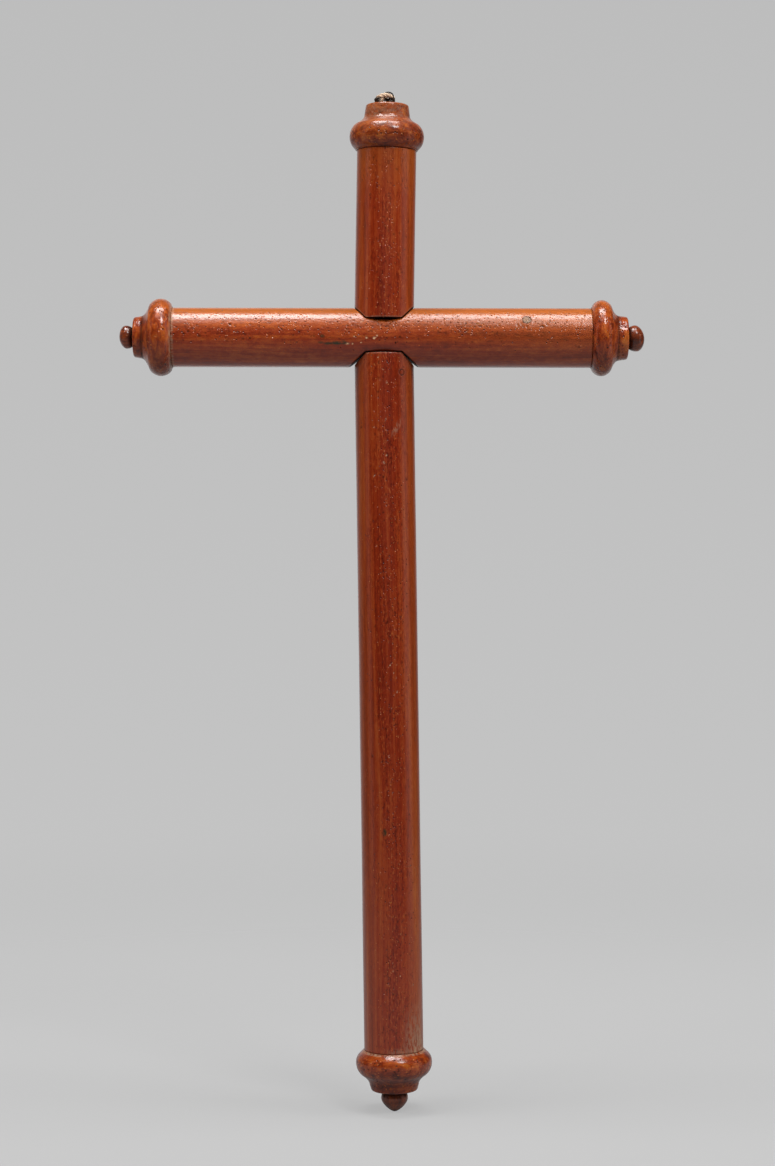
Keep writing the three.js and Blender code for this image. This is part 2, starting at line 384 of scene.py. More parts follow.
class Nodes:
    """Builds a node tree with short calls."""

    def __init__(self, tree):
        self.tree = tree
        tree.nodes.clear()

    def add(self, kind, inputs=None, **settings):
        node = self.tree.nodes.new(kind)
        for key, value in settings.items():
            setattr(node, key, value)
        for key, value in (inputs or {}).items():
            self.put(node.inputs[key], value)
        return node

    def put(self, socket, value):
        if isinstance(value, bpy.types.NodeSocket):
            self.tree.links.new(value, socket)
        else:
            socket.default_value = value

    def math(self, operation, a, b=0.0, clamp=False):
        return self.add("ShaderNodeMath", {0: a, 1: b}, operation=operation, use_clamp=clamp).outputs[0]

    def plus(self, *values):
        total = values[0]
        for value in values[1:]:
            total = self.math("ADD", total, value)
        return total

    def times(self, *values):
        total = values[0]
        for value in values[1:]:
            total = self.math("MULTIPLY", total, value)
        return total

    def scaled(self, vector, factors):
        return self.add("ShaderNodeVectorMath", {0: vector, 1: factors}, operation="MULTIPLY").outputs[0]

    def noise(self, vector, factors, detail=3.0, roughness=0.5, distortion=0.0):
        return self.add("ShaderNodeTexNoise", {
            "Vector": self.scaled(vector, factors), "Scale": 1.0, "Detail": detail,
            "Roughness": roughness, "Distortion": distortion,
        }).outputs["Fac"]

    def cells(self, vector, factors):
        """The distance to the nearest cell point, and two of that cell's own random numbers."""
        node = self.add("ShaderNodeTexVoronoi", {"Vector": self.scaled(vector, factors), "Scale": 1.0})
        parts = self.add("ShaderNodeSeparateColor", {"Color": node.outputs["Color"]}).outputs
        return node.outputs["Distance"], parts[0], parts[1]

    def ramp(self, value, low, high, to_low=0.0, to_high=1.0):
        return self.add("ShaderNodeMapRange", {
            "Value": value, "From Min": low, "From Max": high, "To Min": to_low, "To Max": to_high,
        }, interpolation_type="SMOOTHSTEP").outputs[0]

    def over(self, value, limit):
        return self.math("GREATER_THAN", value, limit)

    def under(self, value, limit):
        return self.math("LESS_THAN", value, limit)

    def less(self, a, b, clamp=False):
        return self.math("SUBTRACT", a, b, clamp)

    def moved(self, vector, offset):
        return self.add("ShaderNodeVectorMath", {0: vector, 1: offset}, operation="ADD").outputs[0]

    def mix(self, factor, a, b):
        node = self.add("ShaderNodeMix", {"Factor": factor}, data_type="RGBA")
        self.put(node.inputs[6], a)
        self.put(node.inputs[7], b)
        return node.outputs[2]

    def mark(self, name):
        return self.add("ShaderNodeAttribute", attribute_name=name).outputs["Fac"]


def rgb(*values):
    """A colour with full opacity."""
    return (*values, 1.0)


def toned(share, colour):
    """A colour made darker or lighter."""
    return rgb(*(share * part for part in colour))


def new_material(name):
    """An empty material, its nodes and the grain coordinates that its pieces carry."""
    material = bpy.data.materials.new(name)
    material.use_nodes = True
    n = Nodes(material.node_tree)
    grain = n.add("ShaderNodeAttribute", attribute_name="grain").outputs["Vector"]
    return material, n, grain


# ---------- materials ----------

# pale wood in chips, pushed bright as a painted glint
PALE_WOOD_GLINT = rgb(1.0, 0.58, 0.30)
# the colour of painted light on top-lit wood
PAINTED_LIGHT_WOOD = rgb(0.44, 0.135, 0.02)
# gold flecks: partly wood fleck, partly painted glint
GOLD_FLECK_GLINT = rgb(0.72, 0.30, 0.07)
DUST = rgb(0.38, 0.26, 0.17)
# near black, for dirt and for painted shade
DIRT_AND_SHADE = rgb(0.006, 0.003, 0.002)
GREEN_STAIN = rgb(0.022, 0.026, 0.010)


def wood_colour(n, grain, bent, fibres, dark, body, light, glow, streaks, mottle, length):
    """Broad figure, growth bands, fibres and blotches, read through four colours."""
    broad = n.noise(bent, (0.13, 0.13, 0.10 * length), detail=3)
    bands = n.noise(bent, (0.5, 0.34, 0.16 * length), detail=4, roughness=0.6)
    blotch = n.noise(grain, (0.34, 0.34, 0.2), detail=4, roughness=0.6, distortion=0.5)
    parts = ((bands, streaks), (fibres, 0.5 * streaks), (blotch, mottle), (broad, 0.45))
    tone = n.plus(*(n.times(part, weight) for part, weight in parts))
    level = 0.5 * sum(weight for _, weight in parts) - 0.5
    spread = n.add("ShaderNodeValToRGB", {"Fac": n.less(tone, level)})
    stops = spread.color_ramp.elements
    stops[0].position, stops[0].color = 0.2, rgb(*dark)
    stops[1].position, stops[1].color = 0.86, rgb(*glow)
    for place, colour in ((0.47, body), (0.64, light)):
        stops.new(place).color = rgb(*colour)
    return spread.outputs["Color"]


def varnished_wood(name, dark, body, light, glow, streaks, mottle, length, pits, haze, threads, coarse):
    """Old varnished hardwood: figure, fibres and pores under a glossy, pitted, slightly worn coat, with
    painted light, painted glints and painted shade from the piece's values.
    """
    material, n, grain = new_material(name)
    bend = n.noise(grain, (0.03, 0.03, 0.006), detail=2)
    bent = n.moved(grain, n.scaled(bend, (9.0, 5.0, 0.0)))
    fibres = n.noise(bent, (2.2, 2.2, 0.5 * length), detail=5, roughness=0.7)
    colour = wood_colour(n, grain, bent, fibres, dark, body, light, glow, streaks, mottle, length)

    # Painted light: lighter, more orange wood where the piece's painted_light value says the lamps fall.
    painted_light = n.mark("painted_light")
    colour = n.mix(n.times(painted_light, 0.9), colour, n.mix(0.65, colour, PAINTED_LIGHT_WOOD))

    short = n.noise(grain, (1.5, 1.5, 0.42), detail=3, roughness=0.65)
    busy = n.ramp(n.noise(grain, (0.14, 0.14, 0.045), detail=2), 0.38, 0.6, 0.25, 1.0)
    busy = n.times(busy, n.ramp(n.mark("pox"), 0.0, 0.8, 0.3, 1.0), threads)
    dark_thread = n.times(n.ramp(short, 0.46, 0.34), busy)
    gold_thread = n.times(n.ramp(short, 0.56, 0.68), busy, 0.8)
    colour = n.mix(dark_thread, colour, toned(0.5, dark))
    colour = n.mix(gold_thread, colour, toned(1.1, glow))

    far, pick, _ = n.cells(bent, (1.7, 1.7, 1.7 * 0.12))
    patchy = n.ramp(n.noise(grain, (0.1, 0.1, 0.03), detail=2), 0.4, 0.6, 0.2, 1.0)
    pore = n.times(n.ramp(far, 0.08, 0.2, 1.0, 0.0), n.over(pick, 0.5), patchy)
    colour = n.mix(n.times(pore, 0.6), colour, toned(0.35, dark))

    crowd = n.ramp(n.noise(grain, (0.16, 0.16, 0.08), detail=3, roughness=0.6), 0.36, 0.6, 0.15, 1.0)
    chance = n.times(crowd, n.mark("pox"), pits)
    far, pick, shade = n.cells(grain, (0.8 / coarse, 0.8 / coarse, 0.65 / coarse))
    prick = n.times(n.ramp(far, 0.1, 0.36, 1.0, 0.0), n.under(pick, chance))
    filled = n.times(prick, n.over(shade, 0.5))
    # Open pits painted bright as painted glints; filled pits painted dark with dirt.
    colour = n.mix(n.times(n.less(prick, filled), 0.6), colour, toned(1.3, glow))
    colour = n.mix(n.times(filled, 0.85), colour, toned(0.3, dark))
    far, pick, _ = n.cells(grain, (1.3, 1.3, 1.0))
    # Gold flecks, partly wood fleck and partly painted glint.
    fleck_glint = n.times(n.ramp(far, 0.12, 0.3, 1.0, 0.0), n.under(pick, n.times(chance, 0.16)))
    colour = n.mix(n.times(fleck_glint, 0.6), colour, GOLD_FLECK_GLINT)

    ragged = n.noise(grain, (0.9, 0.9, 0.35), detail=4, roughness=0.65)
    # Wear and dust, pale chips whose middles are painted glints, and the painted highlight on the upright's
    # arris.
    worn = n.math("MULTIPLY", n.mark("wear"), n.ramp(ragged, 0.36, 0.6), clamp=True)
    chip_glint = n.ramp(n.mark("wear"), 0.75, 1.2)
    colour = n.mix(n.times(worn, 0.85), colour, n.mix(chip_glint, DUST, PALE_WOOD_GLINT))
    colour = n.mix(n.times(n.mark("stain"), n.ramp(ragged, 0.3, 0.52, 0.15, 1.0)), colour, GREEN_STAIN)
    # Dirt, and painted shade in notches, seams and under overhangs.
    dirty_and_shaded = n.math("MULTIPLY", n.mark("grime_and_shade"), n.ramp(ragged, 0.2, 0.5, 0.55, 1.0), clamp=True)
    colour = n.mix(dirty_and_shaded, colour, DIRT_AND_SHADE)

    rub = n.noise(grain, (0.5, 0.5, 0.14), detail=4, roughness=0.6)
    gloss = n.plus(n.ramp(rub, 0.3, 0.7, 0.34, 0.5), n.times(worn, 0.25))
    gloss = n.math("ADD", gloss, n.times(dirty_and_shaded, 0.3), clamp=True)
    bare = n.plus(n.times(worn, 0.8), n.times(filled, 0.7))
    coat = n.less(1.0, n.math("MAXIMUM", bare, dirty_and_shaded), clamp=True)

    ripple = n.noise(grain, (0.13, 0.13, 0.05), detail=2)
    peel = n.noise(grain, (0.75, 0.75, 0.5), detail=3, roughness=0.55)
    height = n.plus(n.times(ripple, 0.35), n.times(peel, 0.2), n.times(fibres, 0.04))
    hollow = n.plus(n.times(pore, 0.05), n.times(prick, 0.55), n.times(fleck_glint, 0.2))
    height = n.less(n.less(height, hollow), n.times(worn, ragged, 0.12))
    bump = n.add("ShaderNodeBump", {"Height": height, "Distance": 0.4 * MM, "Strength": 1.0}).outputs[0]

    shader = n.add("ShaderNodeBsdfPrincipled", {
        "Base Color": colour, "Roughness": gloss, "Normal": bump, "Coat Normal": bump,
        "IOR": 1.48, "Specular IOR Level": 0.12,
        "Coat Weight": coat, "Coat Roughness": haze, "Coat IOR": 1.5,
    })
    n.add("ShaderNodeOutputMaterial", {"Surface": shader.outputs[0]})
    return material


def dry_fibre(name, low, high, rough, factors, distance):
    """A dry, dull material, mottled at a small scale, darkened by its values: dirt on the plug, painted shade
    on the knot.
    """
    material, n, grain = new_material(name)
    hairs = n.noise(grain, factors, detail=6, roughness=0.7)
    blotch = n.noise(grain, (0.4, 0.4, 0.4), detail=3)
    tone = n.plus(n.times(hairs, 0.7), n.times(blotch, 0.3))
    colour = n.mix(n.ramp(tone, 0.35, 0.65), rgb(*low), rgb(*high))
    colour = n.mix(n.mark("grime_and_shade"), colour, DIRT_AND_SHADE)
    bump = n.add("ShaderNodeBump", {"Height": hairs, "Distance": distance, "Strength": 0.9}).outputs[0]
    shader = n.add("ShaderNodeBsdfPrincipled", {
        "Base Color": colour, "Roughness": rough, "Normal": bump, "IOR": 1.45,
    })
    n.add("ShaderNodeOutputMaterial", {"Surface": shader.outputs[0]})
    return material


CROSSBAR_WOOD = varnished_wood(
    "crossbar_wood", dark=(0.10, 0.009, 0.002), body=(0.265, 0.028, 0.004), light=(0.37, 0.06, 0.008),
    glow=(0.52, 0.12, 0.016), streaks=0.7, mottle=0.6, length=0.07, pits=0.8, haze=0.19,
    threads=0.5, coarse=1.0)
UPRIGHT_WOOD = varnished_wood(
    "upright_wood", dark=(0.10, 0.007, 0.0015), body=(0.235, 0.020, 0.0025), light=(0.31, 0.046, 0.008),
    glow=(0.40, 0.10, 0.022), streaks=0.85, mottle=0.3, length=0.06, pits=0.45, haze=0.2,
    threads=0.75, coarse=0.85)
CAP_WOOD = varnished_wood(
    "cap_wood", dark=(0.07, 0.006, 0.002), body=(0.25, 0.032, 0.005), light=(0.37, 0.068, 0.009),
    glow=(0.50, 0.13, 0.018), streaks=0.6, mottle=1.15, length=0.3, pits=1.0, haze=0.13,
    threads=0.35, coarse=1.3)
KNOB_WOOD = varnished_wood(
    "knob_wood", dark=(0.03, 0.006, 0.003), body=(0.13, 0.022, 0.006), light=(0.26, 0.05, 0.010),
    glow=(0.42, 0.1, 0.02), streaks=0.5, mottle=0.8, length=0.35, pits=0.4, haze=0.11,
    threads=0.3, coarse=0.8)
BARE_WOOD = dry_fibre("bare_wood", (0.42, 0.26, 0.13), (0.58, 0.4, 0.22), 0.7, (2.0, 2.0, 0.1), 0.1 * MM)
CORD = dry_fibre("cord_fibre", (0.34, 0.21, 0.14), (0.78, 0.60, 0.42), 0.85, (3.0, 3.0, 3.0), 0.25 * MM)
THREAD = dry_fibre("dark_thread", (0.006, 0.004, 0.003), (0.02, 0.012, 0.008), 0.5, (3.0, 3.0, 3.0), 0.1 * MM)
FILLER = dry_fibre("plug_filler", (0.06, 0.024, 0.009), (0.34, 0.16, 0.07), 0.36, (1.0, 1.0, 1.0), 0.3 * MM)


# ---------- bars ----------

GRAZING = 0.02  # the smallest cosine that a flat floor is worked out with
WAVE_DEPTH = 0.05  # how far the bars are from true, in millimetres


def steps(low, high, step):
    """Evenly spaced heights, about a step apart."""
    return np.linspace(low, high, max(2, int(round((high - low) / step)) + 1))


def close_ends(rings, axis, side, first, last):
    """Adds rings beyond the first and the last one. Each list holds (distance, radius)."""
    before, after = [], []
    for rows, profile, base in ((before, first, rings[0]), (after, last, rings[-1])):
        centre = CROSSING + axis * ((base.mean(0) - CROSSING) @ axis)
        for reach, radius in profile:
            radii = np.full((1, len(BAR_ANGLES)), radius)
            rows.append(rings_around(centre, axis, side, FRONT, np.array([reach]), radii, BAR_ANGLES))
    return np.concatenate(before[::-1] + [rings] + after), len(before), len(after)


def tenon(sign):
    """A tenon with a peg hole down its middle, as (distance, radius) from the shoulder outwards."""
    hole, deep = PEG_HOLE
    bevel = 0.5 * MM
    profile = (
        (0.0, TENON_RADIUS), (TENON_LENGTH - bevel, TENON_RADIUS), (TENON_LENGTH, TENON_RADIUS - bevel),
        (TENON_LENGTH, hole + bevel), (TENON_LENGTH, hole), (TENON_LENGTH - deep, hole),
        (TENON_LENGTH - deep, hole / 2),
    )
    return [(sign * reach, radius) for reach, radius in profile]


def crossbar_marks(marks):
    """Pits, chips and stains on the crossbar, at millimetres along it and degrees above the front, and
    painted light on its top.
    """
    pin_prick(marks, 330, -100, 100, 5, -25, 62, 0.17)
    marks.pit(-75.9, 21, 0.9, 0.42)
    marks.pit(-96.5, 7, 0.9, 0.3)
    marks.pit(-91, -2, 0.7, 0.2, long=2.0)
    marks.pit(-66, -6, 0.7, 0.3)
    marks.pit(78.5, 18, 0.85, 0.4)
    marks.pit(5.8, -14, 0.6, 0.25)
    marks.pit(93, -34, 0.3, 0.15, long=3.0)
    for along, turn, radius in (
        (-14.6, -2, 0.45), (-8.4, -4, 0.75), (-4.7, -5, 0.8), (-3.3, 0, 0.6), (1.8, 10, 0.35),
        (-8.6, 16, 0.45), (-1.7, 16, 0.35), (-11, 27, 0.6), (-11.2, -14, 0.45), (-15.4, -16, 0.5),
    ):
        marks.glinting_chip(along, turn, radius, long=1.3, slant=30)
    marks.glinting_chip(-18, -16, 0.75, long=2.2, slant=6, bright=0.7)
    for along, turn, radius, long, dark in (
        (-31, -13.5, 0.4, 2.6, 0.7), (-27.3, -15.5, 0.5, 3.2, 0.9), (-23, -14.6, 0.62, 3.4, 0.95),
        (-19.8, -13.6, 0.66, 1.6, 0.95), (-30.4, -1.5, 0.65, 1.4, 0.7),
    ):
        spot = marks.distance(along, turn, long) / radius
        marks.add_stain(dark * unit(2 - 1.1 * spot))
    # Painted light: the top of the bar lighter and more orange, more so on the right arm, less underneath.
    up = unit((marks.turn[None] - math.radians(6)) / math.radians(50))
    under = unit((-marks.turn[None] - math.radians(8)) / math.radians(25))
    rightwards = unit(marks.heights / (90 * MM) + 0.1)
    marks.painted_light = unit(up + 0.3 * rightwards - 0.2 * under)
    marks.pox = np.exp(-((marks.degrees - 24) / 30) ** 2)


PLUG_ALONG = 70.7  # millimetres along the right arm
PLUG_TURN = 33  # degrees above the front
PLUG_RADIUS = 2.1 * MM
PLUG_HOLE = 2.2 * MM


def notched_radii(heights):
    """The crossbar's radius per height and angle, with both notches cut. The upper lip is rounded."""
    cos = np.cos(BAR_ANGLES)
    along = np.abs(heights)
    lower_depth = BAR_RADIUS - LOWER_FLOOR
    lower_slope = lower_depth / (lower_depth + LOWER_MOUTH_CLEARANCE)
    upper_limit = UPPER_FLOOR + np.clip(along - UPPER_HALF_FLOOR, 0, None)
    lower_limit = LOWER_FLOOR + np.clip(along - LOWER_HALF_FLOOR, 0, None) * lower_slope
    upper = upper_limit[:, None] / np.maximum(cos, GRAZING)
    lower = lower_limit[:, None] / np.maximum(-cos, GRAZING)
    bar = np.full((len(heights), len(BAR_ANGLES)), BAR_RADIUS)
    rounding = np.exp(-((heights - 0.6 * MM) / (8.5 * MM)) ** 2)[:, None]
    return smooth_min(smooth_min(bar, upper, 0.8 * MM + 3.6 * MM * rounding), lower, 0.9 * MM)


def plug_rim(marks):
    """The raised, dirty rim of varnish around the plug's hole."""
    far = marks.distance(PLUG_ALONG, PLUG_TURN)
    marks.depth -= 0.09 * MM * np.exp(-((far - 2.75) / 0.45) ** 2)
    marks.add_dirt_and_shade(0.5 * unit(1 - np.abs(far - 2.2) / 0.5))


def crossbar_shade_and_dust(marks, heights, radii):
    """Painted shade in both notches and a painted dark line at the seam beside the right cap, and dust beside
    the left one.
    """
    cos = np.cos(BAR_ANGLES)
    sunk = BAR_RADIUS - radii
    to_right = (ENDS["right"].seam - heights)[:, None]
    from_left = (heights + ENDS["left"].seam)[:, None]
    # painted shade in the gap of the lower notch
    marks.add_dirt_and_shade(0.95 * (unit(sunk / (0.15 * MM) - 0.3) * (cos < 0)))
    # painted shade in the upper notch, under the end of the upright
    marks.add_dirt_and_shade(0.95 * (unit(sunk / (2.0 * MM)) ** 2 * (cos > 0)))
    # a dark line at the seam, as painted shade
    marks.add_dirt_and_shade(0.45 * unit(1 - to_right / MM / 0.7))
    marks.add_wear_and_highlight(np.clip(1.7 - from_left / (0.9 * MM), 0, 0.75))


def crossbar():
    right, left = ENDS["right"], ENDS["left"]
    axis = right.axis
    up = one_long(np.cross(FRONT, axis))
    fine = 20 * MM
    heights = np.unique(np.concatenate((
        steps(-left.seam, -fine, 0.5 * MM), steps(-fine, fine, 0.3 * MM), steps(fine, right.seam, 0.5 * MM),
    )))
    radii = notched_radii(heights)
    rings = rings_around(CROSSING, axis, up, FRONT, heights, radii, BAR_ANGLES)
    marks = Marks(heights)
    crossbar_marks(marks)
    plug_rim(marks)
    notch = unit((BAR_RADIUS - radii) / (1.1 * MM))
    radii = radii + value_noise(rings, 30 * MM, 11) * WAVE_DEPTH * MM - marks.depth * (1 - notch)
    rings = rings_around(CROSSING, axis, up, FRONT, heights, radii, BAR_ANGLES)
    # no painted light inside the notches
    marks.painted_light *= 1 - notch
    crossbar_shade_and_dust(marks, heights, radii)
    rings, before, after = close_ends(rings, axis, up, tenon(-1), tenon(1))
    values = marks.padded(before, after)
    grain = grain_along(axis, up, CROSSING, 1)
    piece = make_mesh("crossbar_wood", rings, False, values, grain)
    centre = middle("centre_dowel") * (1, 1, 0) + CROSSING * (0, 0, 1)
    reach = np.array((0.0, 0.0, 1.3 * BAR_RADIUS))
    plug_low, plug_axis = plug_place()
    bore(piece, (
        plain_cylinder(centre - reach, centre + reach, DOWEL_HOLE[0]),
        plain_cylinder(plug_low, plug_low + plug_axis * 2 * BAR_RADIUS, PLUG_HOLE),
    ), values, grain)
    return finish_piece(piece, CROSSBAR_WOOD, "crossbar_wood", "crossbar")


def plug_place():
    """The inner end of the plug and its direction, from the frame."""
    centre = middle("right_arm_plug")
    on_axis = CROSSING + ENDS["right"].axis * ((centre - CROSSING) @ ENDS["right"].axis)
    direction = centre - on_axis
    far = np.linalg.norm(direction)
    direction /= far
    return centre - direction * (BAR_RADIUS - far), direction


def plug():
    """A short round plug whose face follows the bar and stands in a thin ring of old varnish."""
    low, direction = plug_place()
    axis = ENDS["right"].axis
    other = np.cross(direction, axis)
    inner = np.linalg.norm(low - CROSSING - axis * ((low - CROSSING) @ axis))
    across = np.concatenate((np.full(5, 1.0), (0.985, 0.95), np.linspace(0.88, 0.06, 11)))
    angles = full_turn(72)
    side_offset = across[:, None] * PLUG_RADIUS * np.sin(angles)[None]
    surface = np.sqrt(BAR_RADIUS ** 2 - side_offset ** 2) - 0.05 * MM
    drop = np.concatenate((np.linspace(1, 0.02, 5), (0.006, 0.001), np.zeros(11)))
    heights = surface - drop[:, None] * (BAR_RADIUS - inner)
    base = CROSSING + axis * ((low - CROSSING) @ axis)
    rings = (
        base + heights[..., None] * direction
        + (across[:, None] * PLUG_RADIUS * np.cos(angles)[None])[..., None] * axis
        + side_offset[..., None] * other
    )
    rings += direction * (value_noise(rings, 1.1 * MM, 3) * 0.04 * MM)[..., None]
    grime_and_shade = np.broadcast_to(np.clip(1.3 * (across[:, None] - 0.8) / 0.2, 0, 0.55), heights.shape)
    grain = grain_along(direction, axis, base, 4)
    piece = make_mesh("right_arm_plug_filler", rings, False, {"grime_and_shade": grime_and_shade}, grain)
    return finish_piece(piece, FILLER, "filler", "right_arm_plug")


def front_pits_and_lit_sides(marks):
    """The uprights' pits keep to a strip down the front, and their sides get painted light, lighter and
    browner.
    """
    turn = marks.degrees
    marks.pox = 0.15 + 0.85 * np.exp(-((turn - 6) / 30) ** 2)
    marks.painted_light = np.where(turn > 0, 0.32, 0.26) * unit((np.abs(turn) - 24) / 34)


def lower_marks(marks):
    """Wear on the lower upright, at millimetres below the crossing and degrees right of the front."""
    pin_prick(marks, 240, 20, 350, 6, -45, 60, 0.07)
    for along, turn, radius, long, slant in (
        (10.7, -12, 0.5, 1.0, 0), (16.5, -3, 0.55, 2.2, 65), (23, 4, 0.5, 2.4, 25), (41, 1, 0.55, 1.2, 0),
        (45.2, -21, 0.4, 2.0, 60), (59, 2, 0.45, 1.3, 40), (62.6, -3, 0.6, 1.6, 40), (69, -22, 0.4, 2.4, -50),
        (162.7, 3, 0.45, 1.3, 40), (166.8, 10, 0.4, 1.2, 0), (168.9, 15, 0.4, 1.2, 0),
        (176, 16, 0.55, 1.2, 0), (177.6, 11, 0.5, 1.3, 0), (314.7, 1, 0.5, 1.0, 0), (315.4, -4, 0.4, 1.0, 0),
        (316.3, 19, 0.6, 1.3, 60), (315.4, 24, 0.45, 1.0, 0), (317.2, 15, 0.5, 1.4, 50),
        (323.7, 2, 0.4, 1.0, 0), (322, 41, 0.4, 2.6, 80), (334, 0, 0.45, 1.0, 0), (344.2, 42, 0.45, 1.0, 0),
        (350.4, 46, 0.5, 1.3, 20),
    ):
        marks.glinting_chip(along, turn, 0.85 * radius, long, slant, 0.85)
    for along, turn, radius in (
        (208, -36, 0.8), (44.9, -53, 0.9), (18.9, 69, 0.6), (49, -20, 0.5), (58, 25, 0.5), (56, 19, 0.4),
        (326, 1, 0.5), (329, 1, 0.6), (149, 4, 0.5), (173, -2, 0.5), (186, 3, 0.6), (190, 9, 0.6),
        (192, 12, 0.5),
    ):
        marks.pit(along, turn, radius, 0.22)
    ring = marks.distance(18, 36)
    marks.depth += 0.16 * MM * np.exp(-((ring - 1.4) / 0.35) ** 2)
    marks.add_dirt_and_shade(0.85 * np.exp(-((ring - 1.4) / 0.32) ** 2))
    scuff = marks.distance(45.5, 23, long=3.4, slant=-30)
    marks.add_wear_and_highlight(0.45 * unit(1.6 - scuff / 1.1))
    for along, turn in ((245.7, -12), (272, 88)):
        marks.add_stain(0.9 * unit(2 - marks.distance(along, turn, 1.6) / 0.7))
    front_pits_and_lit_sides(marks)
    foot_wear(marks)


def foot_wear(marks):
    """The dull, dusty patch above the bottom cap, to the right of the front."""
    from_end = ENDS["bottom"].seam / MM - marks.heights / MM
    turn = marks.degrees
    fade = unit((95 - turn) / 20)
    patch = unit(1 - from_end / 27) * unit((turn - 12) / 30) * fade
    skirt = unit(1 - from_end / 3.5) * unit((turn + 25) / 30) * fade
    marks.add_wear_and_highlight(np.maximum(0.9 * patch, 0.75 * skirt))


def upper_marks(marks):
    """Wear on the upper upright, at millimetres above the crossing and degrees right of the front."""
    pin_prick(marks, 90, 18, 88, 7, -55, 55, 0.07)
    front_pits_and_lit_sides(marks)
    # more painted light near the top end
    marks.painted_light += 0.3 * unit(marks.heights / MM / 20 - 3.4)
    for along, turn, radius in ((24, -48, 0.4), (35, 12, 0.4), (51, -8, 0.45), (66, 22, 0.4), (78, -16, 0.5)):
        marks.glinting_chip(along, turn, 0.8 * radius, 1.6, 30, 0.6)


def wedge_heights(tip, seam, edge):
    """Heights along an upright, and how far its end is drawn in and shrunk at each of them."""
    turn = np.linspace(0, math.pi / 2, 6)
    fine = tip + 12 * MM
    heights = np.concatenate((
        np.full(2, tip), tip + edge * (1 - np.cos(turn)), steps(tip + edge, fine, 0.3 * MM)[1:],
        steps(fine, seam, 0.64 * MM)[1:],
    ))
    inset = np.concatenate((np.full(2, edge), edge * (1 - np.sin(turn)), np.zeros(len(heights) - 8)))
    shrink = np.concatenate(((0.55, 0.85), np.ones(len(heights) - 2)))
    return heights, inset[:, None], shrink[:, None]


def wedge_shade_and_highlight(marks, from_tip, from_edge, to_seam):
    """Painted shade along the wedge's edges, on its flat end and at the seam, wear just inside its edges near
    the end, and a painted highlight along the arris of its flat end.
    """
    near = from_tip < 9 * MM
    marks.add_wear_and_highlight(0.45 * unit(1 - np.abs(from_edge - 0.9) / 0.5) * near)
    arris = np.exp(-((from_tip - 0.5 * MM) / (0.22 * MM)) ** 2)
    # painted highlight along the arris of the flat end
    marks.add_wear_and_highlight(0.6 * arris * (np.abs(np.cos(BAR_ANGLES)) < 0.62))
    # painted shade along the wedge's edges
    marks.add_dirt_and_shade(unit(1.25 - from_edge / 0.5) * near)
    # painted shade on the flat end
    marks.add_dirt_and_shade(unit(1 - from_tip / (0.25 * MM)))
    marks.add_dirt_and_shade(0.25 * unit(1 - to_seam / MM / 0.6))


def upright(end, floor, half_floor, name, seed, wear, end_gap):
    """A bar whose wedge-shaped end sits in a notch, level with it although the bar leans."""
    tip = floor + end_gap
    heights, inset, shrink = wedge_heights(tip, end.seam, 0.45 * MM)
    cos = np.cos(BAR_ANGLES)
    limit = (half_floor - FRAME_GAP * 0.3 + (heights - tip))[:, None]
    centre = (heights * end.axis[0])[:, None]
    room = np.where(cos[None] > 0, limit - centre, limit + centre)
    wedge = room / np.maximum(np.abs(cos)[None], GRAZING)
    radii = (smooth_min(np.full_like(wedge, BAR_RADIUS), wedge, 0.6 * MM) - inset) * shrink
    share = unit((heights - tip) / (30 * MM))[:, None]
    sides = np.array((1.0, 0.0, 0.0)) * (1 - share) + end.side * share
    sides /= np.linalg.norm(sides, axis=1)[:, None]
    across = cos[None, :, None] * sides[:, None] + np.sin(BAR_ANGLES)[None, :, None] * FRONT
    centres = CROSSING + heights[:, None, None] * end.axis
    rings = centres + radii[:, :, None] * across
    marks = Marks(heights)
    wear(marks)
    radii = radii + (value_noise(rings, 32 * MM, seed) * WAVE_DEPTH * MM - marks.depth) * (shrink == 1)
    rings = centres + radii[:, :, None] * across
    wedge_shade_and_highlight(marks, (heights - tip)[:, None], (wedge - BAR_RADIUS) / MM, (end.seam - heights)[:, None])
    hole, deep = DOWEL_HOLE
    first = [(0.0, hole + 0.6 * MM), (0.0, hole), (deep, hole), (deep, hole / 2)]
    rings, before, after = close_ends(rings, end.axis, end.side, first, tenon(1))
    grain = grain_along(end.axis, end.side, CROSSING, seed)
    piece = make_mesh(name, rings, False, marks.padded(before, after), grain)
    return finish_piece(piece, UPRIGHT_WOOD, "upright_wood", name.replace("_wood", ""))


def dowel():
    """The plain round dowel that pins the two uprights through the crossbar."""
    low, high = corners("centre_dowel")
    centre = middle("centre_dowel")
    axis = ENDS["top"].axis
    radius = (high[1] - low[1]) / 2
    half = (high[2] - low[2]) / 2 / axis[2] - 0.3 * MM
    bevel = 0.8 * MM
    heights = np.concatenate((
        (-half, -half, -half + bevel), steps(-half + 2 * bevel, half - 2 * bevel, 1.5 * MM),
        (half - bevel, half, half),
    ))
    ends = np.array((0.4 * radius, radius - bevel, radius))
    radii = np.concatenate((ends, np.full(len(heights) - 6, radius), ends[::-1]))
    angles = full_turn(64)
    side = one_long(np.cross(axis, FRONT))
    flutes = 1 - 0.02 * unit(np.cos(12 * angles))
    rings = rings_around(centre, axis, side, FRONT, heights, radii[:, None] * flutes[None], angles)
    grain = grain_along(axis, side, centre, 5)
    piece = make_mesh("centre_dowel_wood", rings, False, {"grime_and_shade": np.zeros(rings.shape[:2])}, grain)
    return finish_piece(piece, BARE_WOOD, "bare_wood", "centre_dowel")


# ---------- caps and knobs ----------

